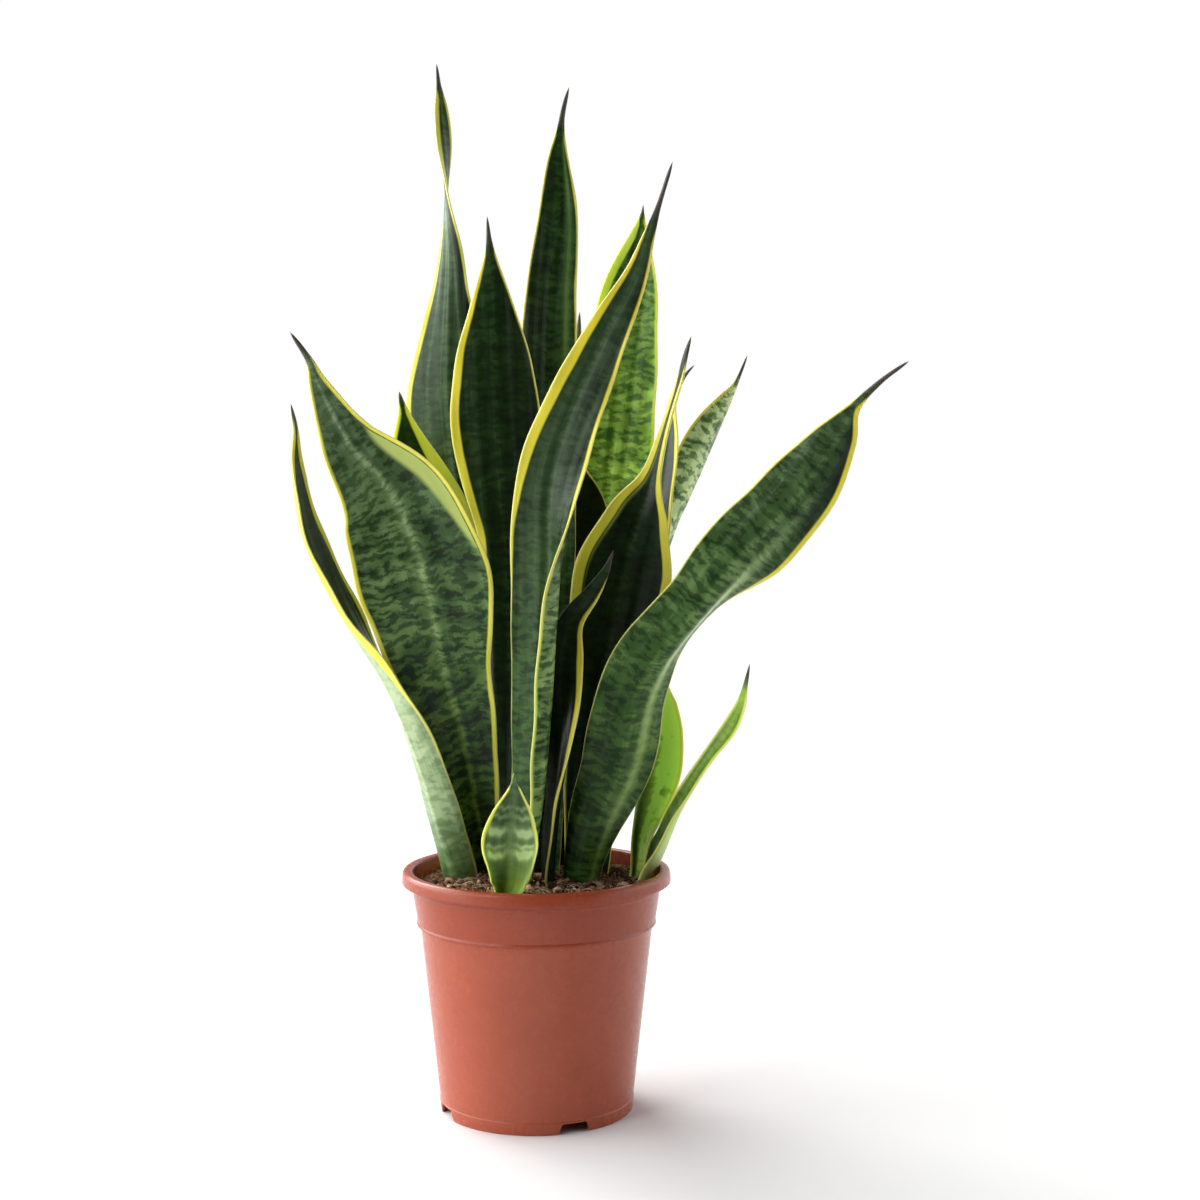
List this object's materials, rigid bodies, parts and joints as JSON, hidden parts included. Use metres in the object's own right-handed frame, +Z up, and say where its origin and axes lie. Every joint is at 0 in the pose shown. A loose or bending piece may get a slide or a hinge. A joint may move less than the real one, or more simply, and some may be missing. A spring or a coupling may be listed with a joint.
{
  "type": "potted snake plant",
  "caption": "Clump of stiff sword-shaped variegated leaves standing in potting soil in a round tapered plastic nursery pot with a rolled rim and a collar.",
  "frame": {"origin": "centre of the flat disc under the pot, on the surface that the pot stands on", "axes": "+Z up along the pot's axis; -Y is the front, the side with the small front leaf; +X is to the right seen from the front, the side that the long arching leaf reaches out to"},
  "size_m": [0.3752, 0.2068, 0.6741],
  "materials": {
    "leaf_variegated": "smooth waxy leaf, dark green with pale wavy cross-bands and yellow margins",
    "leaf_bright": "smooth waxy young leaf, bright green with pale cross-bands and yellow-green margins",
    "soil": "loose crumbly brown potting soil with coir fibres",
    "pot_terracotta": "satin terracotta-coloured moulded plastic"
  },
  "bodies": {
    "root": {"leaf_far_left": "leaf_variegated", "leaf_broad_left": "leaf_variegated", "leaf_young_left": "leaf_bright", "leaf_tall_twisted": "leaf_variegated", "leaf_centre_left": "leaf_variegated", "leaf_centre_front": "leaf_variegated", "leaf_tall_centre": "leaf_variegated", "leaf_bright_back": "leaf_bright", "leaf_slender_back": "leaf_variegated", "leaf_folded_right": "leaf_variegated", "leaf_narrow_right": "leaf_variegated", "leaf_channelled_right": "leaf_variegated", "leaf_arching_right": "leaf_variegated", "leaf_front_pup": "leaf_bright", "leaf_inner_short": "leaf_variegated", "leaf_hidden_centre": "leaf_variegated", "leaf_right_pup_upright": "leaf_bright", "leaf_right_pup_leaning": "leaf_bright", "soil": "soil", "pot": "pot_terracotta"}
  },
  "joints": []
}
